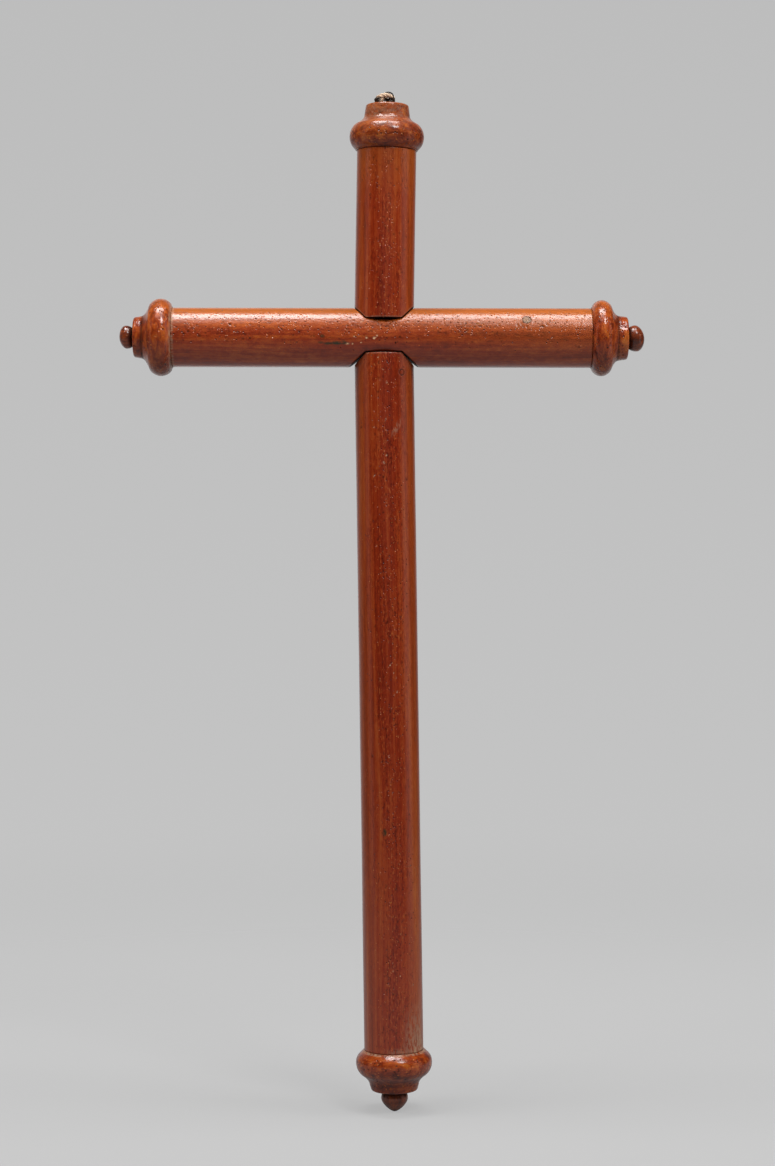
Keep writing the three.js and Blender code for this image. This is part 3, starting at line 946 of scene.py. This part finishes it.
CAP_SHAPES = {
    "left": dict(bead_centre=5.9, bead_half=6.5, collar_start=15.2, collar=10.5, collar_end=10.1),
    "right": dict(bead_centre=5.2, bead_half=5.8, collar_start=13.4, collar=11.1, collar_end=10.7),
    "top": dict(bead_centre=6.9, bead_half=7.4, collar_start=16.8, collar=11.4, collar_end=10.8),
    "bottom": dict(bead_centre=6.5, bead_half=7.3, collar_start=16.9, collar=12.4, collar_end=11.8),
}
CAP_DUST_AND_SHADE = {
    "left": dict(seam_shade=0.8, cove_darkening=0.75, dust=0.8),
    "right": dict(seam_shade=0.35, cove_darkening=0.75, dust=0.0),
    "top": dict(seam_shade=0.35, cove_darkening=0.3, dust=0.0),
    "bottom": dict(seam_shade=0.0, cove_darkening=0.3, dust=0.9),
}
BEAD_HEIGHT = 6.5
BEAD_LEAVE = math.radians(55)
COLLAR_RIM = 1.1
CAP_ANGLES = full_turn(300)
CAP_PITS = 110


def arc(radius, height, half_radius, half_height, start, stop, count):
    """Points along part of an ellipse."""
    angles = np.linspace(start, stop, count)
    return np.stack((radius + half_radius * np.cos(angles), height + half_height * np.sin(angles)), axis=-1)


def curve(points, count):
    """A Bezier curve of any degree through its first and last points."""
    points = np.array(points, float)
    degree = len(points) - 1
    share = np.linspace(0, 1, count)[:, None]
    weights = (math.comb(degree, i) * share ** i * (1 - share) ** (degree - i) for i in range(degree + 1))
    return sum(weight * point for weight, point in zip(weights, points))


def bottom_shoulder(core, start):
    """The bottom bead's upper side: a nearly straight slope out of the mouth, then round to its widest."""
    mouth = MOUTH_RADIUS / MM
    widest = core + BEAD_HEIGHT
    half_way = CAP_SHAPES["bottom"]["bead_centre"]
    points = ((mouth + 0.2, start + 0.5), (mouth + 2.2, start + 2.2), (widest, 3.4), (widest, half_way))
    return curve(points, 30)


def cap_outside(end, start):
    """The outside of a cap's section in millimetres, from the mouth over bead, cove and collar."""
    shape = CAP_SHAPES[end.name]
    collar, collar_start = shape["collar"], shape["collar_start"]
    length = end.length / MM
    core = end.bead / MM - BEAD_HEIGHT
    turn_in = math.asin(-shape["bead_centre"] / shape["bead_half"])
    mouth = MOUTH_RADIUS / MM
    crown = arc(core, shape["bead_centre"], BEAD_HEIGHT, shape["bead_half"], turn_in, BEAD_LEAVE, 54)
    crown = crown[crown[:, 1] > start + 0.6]
    if end.name == "bottom":
        crown = np.concatenate((bottom_shoulder(core, start), crown[crown[:, 1] > shape["bead_centre"]]))
    cove = curve((crown[-1], (collar, collar_start - 1.6), (collar, collar_start + 0.6)), 22)[1:]
    lip_centre = (shape["collar_end"] - COLLAR_RIM, length - COLLAR_RIM)
    lip = arc(*lip_centre, COLLAR_RIM, COLLAR_RIM, 0, math.pi / 2, 10)
    mouth_edge = curve(((mouth - 0.5, start), (mouth, start), (mouth + 0.1, start + 0.4)), 6)
    neck = np.linspace(cove[-1], lip[0], 12)[1:-1]
    return np.concatenate((mouth_edge, crown, cove, neck, lip))


def cap_profile(end):
    """Points of (radius, height) once round a cap's section, and how many of them are outside."""
    start = SEAM / MM
    length = end.length / MM
    outside = cap_outside(end, start)
    hole = STEM_RADIUS / MM + 0.15
    socket = TENON_RADIUS / MM + 0.1
    depth = TENON_LENGTH / MM + 0.3
    inner = np.array((
        (hole + 0.4, length), (hole, length - 0.4), (hole, depth), (socket, depth), (socket, start),
    ))
    face = np.linspace(outside[-1], inner[0], 8)[1:-1]
    return np.concatenate((outside, face, inner)) * MM, len(outside) + len(face)


def cap_pits(rings, outside, seed):
    """Random pits over the outside of a cap: how deep and how dirty each point is."""
    rng = np.random.default_rng(seed)
    pits = np.zeros(rings.shape[:2])
    grime_and_shade = np.zeros(rings.shape[:2])
    for _ in range(CAP_PITS):
        centre = rings[rng.integers(8, outside - 12), rng.integers(0, len(CAP_ANGLES))]
        size = rng.uniform(0.4, 0.9) * MM
        far = np.linalg.norm(rings - centre, axis=-1) / size
        pits = np.maximum(pits, rng.uniform(0.05, 0.22) * MM * np.exp(-2 * far ** 2))
        grime_and_shade = np.maximum(grime_and_shade, 0.7 * rng.random() * unit(1.4 - 1.5 * far))
    return pits, grime_and_shade


def cap_painted_shade(end, height, rings):
    """Painted shade on a cap's shaded side: near the mouth on the top cap, towards the collar's end on the
    bottom one, lower down on the arms' caps.
    """
    if end.name == "top":
        return 0.4 * unit(1 - height / (4.5 * MM))
    if end.name == "bottom":
        return 0.3 * unit((height - 8 * MM) / (6 * MM))
    downwards = (end.base[2] - rings[..., 2]) / MM
    return 0.35 * unit(downwards / 16 - 0.2)


def cap_values(end, height, rings, grime_and_shade):
    """The values that the cap's material reads, from its pits' dirt, with painted shade, a darker cove, dust
    and painted light added.
    """
    shape, worn = CAP_SHAPES[end.name], CAP_DUST_AND_SHADE[end.name]
    from_cove = np.abs(height - (shape["collar_start"] - 0.4) * MM)
    seam_shade = unit(1 - (height - SEAM) / (0.8 * MM)) * worn["seam_shade"]
    cove_darkening = unit(1 - from_cove / (1.3 * MM)) * worn["cove_darkening"]
    # Painted shade in the seam and on the shaded side, and a darker cove, laid over the pits' dirt.
    for dirt in (seam_shade, cove_darkening, cap_painted_shade(end, height, rings)):
        grime_and_shade = np.maximum(grime_and_shade, dirt)
    wear = worn["dust"] * np.clip(1.5 - np.abs(height - 0.4 * MM) / (0.5 * MM), 0, 0.9)
    grime_and_shade = grime_and_shade * (1 - unit(wear))
    # Painted light: the upper side of a cap lighter and more orange; on the top cap it is higher up and less
    # to the right.
    painted_light = 0.75 * unit((rings[..., 2] - end.base[2]) / (18 * MM) - 0.35)
    pox = 1.0
    if end.name == "top":
        rightwards = np.clip((rings - end.base) @ end.side / (12 * MM), -0.3, 1)
        painted_light = (0.27 - 0.27 * rightwards) * unit((height - 5 * MM) / (8 * MM))
        wear = 0.27 * unit((height - 8 * MM) / (8 * MM))
        # The top cap is made darker all over, more to the right.
        grime_and_shade = np.maximum(grime_and_shade, 0.24 + 0.06 * rightwards)
    if end.name in ("top", "bottom"):
        lit = unit((height - shape["bead_centre"] * MM) * end.axis[2] / (4 * MM) - 0.3)
        pox = 1.15 - 0.95 * lit
        if end.name == "bottom":
            # less of the dark where the bottom bead is lit
            grime_and_shade = grime_and_shade * (1 - 0.6 * lit)
    return {"grime_and_shade": grime_and_shade, "wear": wear, "painted_light": painted_light, "stain": 0.0, "pox": pox}


def cap(end, seed):
    """A turned cap: a bead and a collar outside, a socket and a peg hole inside."""
    profile, outside = cap_profile(end)
    heights = profile[:, 1]
    radii = np.repeat(profile[:, :1], len(CAP_ANGLES), axis=1)
    rings = end.rings(heights, radii, CAP_ANGLES)
    wobble = value_noise(rings, 14 * MM, seed) * 0.07 * MM + value_noise(rings, 5 * MM, seed + 1) * 0.02 * MM
    pits, grime_and_shade = cap_pits(rings, outside, seed)
    shown = (np.arange(len(profile)) < outside)[:, None]
    rings = end.rings(heights, radii + (wobble - pits) * shown, CAP_ANGLES)
    values = cap_values(end, heights[:, None], rings, grime_and_shade)
    grain = grain_along(end.side, end.axis, end.base, seed)
    piece = make_mesh(f"{end.name}_cap_wood", rings, True, values, grain)
    return finish_piece(piece, CAP_WOOD, "cap_wood", f"{end.name}_cap")


KNOB_SHAPES = {
    "left": dict(neck=3.5, round=0.6, widest=3.7, fall=0.52, spread=0.5, tilt=4, dirty_and_shaded=2.6),
    "right": dict(neck=4.3, round=0.6, widest=4.0, fall=0.52, spread=0.5, tilt=-7, dirty_and_shaded=2.2),
    "bottom": dict(neck=5.0, round=0.4, widest=3.9, fall=0.42, spread=0.3, tilt=0, dirty_and_shaded=3.0),
}
KNOB_ANGLES = full_turn(120)


def knob_profile(end):
    """Points of (radius, height) down a knob in millimetres, its base, its widest height and its tip."""
    shape = KNOB_SHAPES[end.name]
    neck, widest = shape["neck"], shape["widest"]
    low, high = corners(f"{end.name}_knob")
    main = int(np.abs(end.axis).argmax())
    radius = (high[1] - low[1]) / 2 / MM
    reach = max(abs(low[main] - CROSSING[main]), abs(high[main] - CROSSING[main]))
    tip = (reach / abs(end.axis[main]) - end.seam) / MM
    base = end.length / MM + SEAM / MM
    crest = base + widest
    swell = neck + shape["round"] * (radius - neck)
    nose_side = crest + (tip - crest) * shape["fall"]
    belly = curve((
        (neck, base), (swell, base + 0.1 * widest), (radius, crest - 0.5 * widest), (radius, crest),
    ), 22)
    nose = curve(((radius, crest), (radius, nose_side), (radius * shape["spread"], tip), (0.12, tip)), 30)
    stem = STEM_RADIUS / MM
    shaft = np.array(((stem - 0.4, 3.0), (stem, 3.4), (stem, base - 0.5), (stem, base)))
    return np.concatenate((shaft, belly, nose[1:])), base, crest, tip


def tilted(rings, end, pivot, angle):
    """Rings swung sideways about a place on the axis, by an angle per ring."""
    along = (rings - pivot) @ end.axis
    aside = (rings - pivot) @ end.side
    sin = np.sin(angle)
    return rings + end.axis * (aside * sin)[..., None] - end.side * (along * sin)[..., None]


def knob(end, seed):
    """A turned knob on a stem. It stands slightly aslant and has painted shade where it meets the collar."""
    shape = KNOB_SHAPES[end.name]
    profile, base, crest, tip = knob_profile(end)
    profile = profile * MM
    heights = profile[:, 1]
    above = heights[:, None] - base * MM
    radii = np.repeat(profile[:, :1], len(KNOB_ANGLES), axis=1)
    rings = end.rings(heights, radii, KNOB_ANGLES)
    radii = radii * (1 + value_noise(rings, 6 * MM, seed) * 0.02 * unit(above / (1.0 * MM)))
    rings = end.rings(heights, radii, KNOB_ANGLES)
    angle = np.radians(shape["tilt"]) * unit(above / (3 * MM))
    rings = tilted(rings, end, end.base + end.axis * crest * MM, angle)
    # painted shade under the collar
    grime_and_shade = np.clip(1.2 - above / (shape["dirty_and_shaded"] * MM), 0, 0.95)
    # painted contact shadow towards the bottom knob's tip
    if end.name == "bottom":
        grime_and_shade = np.maximum(grime_and_shade, unit((heights[:, None] / MM - crest) / (tip - crest)) ** 2 * 0.9)
    values = {"grime_and_shade": grime_and_shade, "wear": 0.0, "painted_light": 0.0, "stain": 0.0, "pox": 0.6}
    grain = grain_along(end.axis, end.side, end.base, seed)
    piece = make_mesh(f"{end.name}_knob_wood", rings, False, values, grain)
    return finish_piece(piece, KNOB_WOOD, "knob_wood", f"{end.name}_knob")


# ---------- the knot in the top peg hole ----------

def spline(points, count):
    """A smooth path through given points (Catmull-Rom)."""
    points = np.array(points, float)
    padded = np.vstack((2 * points[0] - points[1], points, 2 * points[-1] - points[-2]))
    share = np.linspace(0, len(points) - 1 - 1e-9, count)
    at = share.astype(int)
    t = (share - at)[:, None]
    a, b, c, d = (padded[at + i] for i in range(4))
    square = 2 * a - 5 * b + 4 * c - d
    cube = 3 * b - a - 3 * c + d
    return 0.5 * (2 * b + (c - a) * t + square * t ** 2 + cube * t ** 3)


def path_frames(path):
    """Two steady directions across a path at each of its points."""
    ahead = np.gradient(path, axis=0)
    ahead /= np.linalg.norm(ahead, axis=1)[:, None]
    across = np.cross(ahead[0], (0.3, 0.5, 0.8))
    first = []
    for direction in ahead:
        across = one_long(across - direction * (across @ direction))
        first.append(across)
    first = np.array(first)
    return first, np.cross(ahead, first)


def strand(path, radius, sides, ends=0.35):
    """A round tube along a path, drawn in at both ends."""
    first, second = path_frames(path)
    angles = full_turn(sides)
    across = np.cos(angles)[None, :, None] * first[:, None] + np.sin(angles)[None, :, None] * second[:, None]
    share = np.linspace(0, 1, len(path))
    draw = np.clip(np.minimum(share, 1 - share) / 0.02, ends, 1)
    return path[:, None] + across * (radius * draw)[:, None, None]


def laid_cord(path, radius, pitch):
    """Three strands twisted round each other along a path."""
    first, second = path_frames(path)
    travelled = np.concatenate(((0.0,), np.cumsum(np.linalg.norm(np.diff(path, axis=0), axis=1))))
    tubes = []
    for number in range(3):
        turn = 2 * math.pi * (travelled / pitch + number / 3)
        offset = np.cos(turn)[:, None] * first + np.sin(turn)[:, None] * second
        tubes.append(strand(path + offset * radius * 0.52, radius * 0.56, 14))
    return tubes


def joined(name, tubes, grain, hollow):
    """One object from several closed tubes; hollow gives how much painted shade each point gets."""
    points, faces = [], []
    start = 0
    for rings in tubes:
        own = np.vstack((rings.reshape(-1, 3), rings[0].mean(0), rings[-1].mean(0)))
        faces += [tuple(start + index for index in face) for face in tube_faces(*rings.shape[:2], False)]
        points.append(own)
        start += len(own)
    points = np.vstack(points)
    return new_piece(name, points, faces, {"grime_and_shade": hollow(points)}, grain)


def cord_knot():
    """A short length of laid cord, looped and pushed into the empty peg hole, with a dark thread."""
    end = ENDS["top"]
    foot = end.base + end.axis * end.length
    across = np.array((end.side, FRONT, end.axis))

    def placed(points, count):
        return foot + spline(points, count) @ across * MM

    loop = placed((
        (-0.9, -0.7, -6), (-1.0, -0.9, -0.6), (-3.2, -1.3, 1.3), (-5.3, 0.0, 1.7), (-4.9, 1.5, 3.0),
        (-2.5, 1.7, 4.3), (0.4, 1.3, 4.6), (2.5, 0.8, 3.4), (2.5, -0.5, 1.5), (1.2, -0.9, -0.4),
        (1.0, -0.7, -6),
    ), 220)
    tail = placed((
        (-4.4, 3.0, 1.2), (-3.6, 2.5, 1.7), (-2.7, 1.3, 2.7), (-1.0, -0.5, 3.0), (1.0, -0.5, 2.4),
        (2.0, 1.0, 1.5), (1.4, 2.6, 1.2),
    ), 120)
    thread = placed((
        (-1.6, 1.6, 5.4), (-0.3, 1.9, 6.0), (1.3, 1.9, 6.0), (2.5, 1.8, 5.2), (2.9, 1.5, 4.0),
        (2.3, 1.6, 2.6),
    ), 60)
    grain = grain_along(end.axis, end.side, foot, 8)

    # painted shade on the knot's lower part, except along one strand
    def hollow(points):
        from_foot = (points - foot) / MM
        sideways = from_foot @ end.side
        low = unit((3.9 - from_foot @ end.axis) / 0.7)
        return 0.96 * low * (1 - 0.9 * np.exp(-((sideways + 2.4) / 0.9) ** 2))

    cords = laid_cord(loop, 1.15 * MM, 5.5 * MM) + laid_cord(tail, 0.95 * MM, 4.5 * MM)
    knot = joined("top_cord_knot_cord", cords, grain, hollow)
    finish_piece(knot, CORD, "cord", "top_cord_knot")
    thin = joined("top_cord_knot_thread", [strand(thread, 0.3 * MM, 12)], grain, hollow)
    finish_piece(thin, THREAD, "cord")


crossbar()
plug()
upright(ENDS["top"], UPPER_FLOOR, UPPER_HALF_FLOOR, "upper_upright_wood", 21, upper_marks, 0.2 * MM)
upright(ENDS["bottom"], LOWER_FLOOR, LOWER_HALF_FLOOR, "lower_upright_wood", 22, lower_marks, 0.45 * MM)
dowel()
for number, name in enumerate(ENDS):
    cap(ENDS[name], 31 + number)
    if name in KNOB_SHAPES:
        knob(ENDS[name], 41 + number)
cord_knot()


# ---------- floor, light and camera ----------

FLOOR_RADIUS = 1.6


def floor():
    """A pale round floor that fades into the backdrop's grey."""
    mesh = bpy.data.meshes.new("floor")
    rim = [(FLOOR_RADIUS * math.cos(a), FLOOR_RADIUS * math.sin(a), 0) for a in full_turn(96)]
    mesh.from_pydata(rim, [], [tuple(range(len(rim)))])
    stage = new_object("floor", mesh)
    material = bpy.data.materials.new("floor_grey")
    material.use_nodes = True
    n = Nodes(material.node_tree)
    place = n.add("ShaderNodeTexCoord").outputs["Object"]
    far = n.add("ShaderNodeVectorMath", {0: place}, operation="LENGTH").outputs["Value"]
    depth = n.add("ShaderNodeSeparateXYZ", {0: place}).outputs[1]
    fade = n.ramp(far, 0.2, 1.2)
    matt = n.add("ShaderNodeBsdfDiffuse", {"Color": rgb(0.15, 0.15, 0.15)})
    seen = n.add("ShaderNodeLightPath").outputs["Is Camera Ray"]
    pale = n.ramp(depth, -0.1, 0.5, 0.385, 0.415)
    strength = n.add("ShaderNodeMix", {0: seen, 2: 0.16, 3: pale}, data_type="FLOAT").outputs[0]
    lift = n.add("ShaderNodeEmission", {"Color": rgb(1, 1, 1), "Strength": strength})
    both = n.add("ShaderNodeAddShader", {0: matt.outputs[0], 1: lift.outputs[0]})
    clear = n.add("ShaderNodeBsdfTransparent")
    shader = n.add("ShaderNodeMixShader", {0: fade, 1: both.outputs[0], 2: clear.outputs[0]})
    n.add("ShaderNodeOutputMaterial", {"Surface": shader.outputs[0]})
    mesh.materials.append(material)


def softbox(name, place, size, radiance, target, glossy=True):
    """A rectangular lamp of a given radiance, so that its size doesn't change how bright it looks."""
    lamp = bpy.data.lights.new(name, "AREA")
    lamp.shape = "RECTANGLE"
    lamp.size, lamp.size_y = size
    lamp.energy = radiance * math.pi * size[0] * size[1]
    holder = new_object(name, lamp)
    holder.location = place
    aim = Vector(target) - Vector(place)
    holder.rotation_euler = aim.to_track_quat("-Z", "Y").to_euler()
    holder.visible_glossy = glossy
    holder.visible_camera = False


def studio():
    """A dark room in front, grey cards to the sides, a pale backdrop and soft lamps overhead."""
    world = bpy.data.worlds.new("studio")
    bpy.context.scene.world = world
    world.use_nodes = True
    n = Nodes(world.node_tree)
    place = n.add("ShaderNodeTexCoord").outputs["Generated"]
    x, y, z = n.add("ShaderNodeSeparateXYZ", {0: place}).outputs
    around = n.math("ARCTAN2", x, n.math("MULTIPLY", y, -1.0))  # 0 in front, positive to the right
    right_card = n.times(n.ramp(around, 1.10, 1.20), n.ramp(around, 1.5, 1.72, 1.0, 0.0), 0.42)
    left_card = n.times(n.ramp(around, -1.12, -1.25), n.ramp(around, -1.6, -1.4), 0.26)
    left_glow = n.times(n.ramp(around, -1.7, -2.4), 0.16)
    behind = n.times(n.ramp(n.math("ABSOLUTE", around), 2.3, 2.9), 0.4)
    level_band = n.ramp(n.math("ABSOLUTE", z), 0.75, 0.45)
    walls = n.times(n.plus(right_card, left_card, left_glow, behind), level_band)
    below = n.ramp(z, -0.1, -0.26, 0.0, 0.22)
    level = n.plus(0.012, walls, below)
    seen = n.math("ADD", 0.535, n.math("MULTIPLY", z, -0.12))
    path = n.add("ShaderNodeLightPath").outputs["Is Camera Ray"]
    shown = n.add("ShaderNodeMix", {0: path, 2: level, 3: seen}, data_type="FLOAT").outputs[0]
    light = n.add("ShaderNodeBackground", {"Color": rgb(1.0, 1.0, 1.0), "Strength": shown})
    n.add("ShaderNodeOutputWorld", {"Surface": light.outputs[0]})
    crossing = (0.0, 0.0, 0.387)
    softbox("overhead_left", (-0.19, -0.09, 1.39), (0.38, 0.36), 15.0, (-0.19, -0.09, 0.0))
    softbox("overhead_right", (0.20, -0.09, 1.39), (0.34, 0.36), 10.5, (0.20, -0.09, 0.0))
    softbox("front_right", (0.25, -0.50, 1.27), (0.40, 0.55), 2.8, crossing)
    softbox("front_left", (-0.25, -0.42, 1.32), (0.40, 0.30), 2.2, crossing)
    softbox("right_key", (0.578, -0.925, 1.557), (0.42, 0.42), 14.0, crossing)
    softbox("left_key", (-0.81, -0.63, 1.62), (0.5, 0.5), 5.0, crossing, glossy=False)
    softbox("right_wall", (1.22, -0.33, 0.98), (0.5, 0.5), 9.0, crossing, glossy=False)
    softbox("left_wall", (-1.22, -0.33, 0.98), (0.5, 0.5), 8.0, crossing, glossy=False)
    softbox("fill", (0.1, -1.5, 0.9), (1.4, 1.4), 0.9, (0.0, 0.0, 0.25), glossy=False)


CAMERA_PLACE = (2.9 * MM, -1.22, 0.288)
CAMERA_LENS = 75.36  # millimetres, for a sensor 36 mm wide
CAMERA_DIP = 1.075  # degrees below level


def camera():
    """Stands in front, a little above the middle of the cross, and looks very slightly down."""
    lens = bpy.data.cameras.new("camera")
    lens.sensor_width = 36
    lens.lens = CAMERA_LENS
    holder = new_object("camera", lens)
    holder.location = CAMERA_PLACE
    holder.rotation_euler = (math.radians(90 - CAMERA_DIP), 0, 0)
    bpy.context.scene.camera = holder


floor()
studio()
camera()
bpy.context.scene.view_settings.view_transform = "Standard"
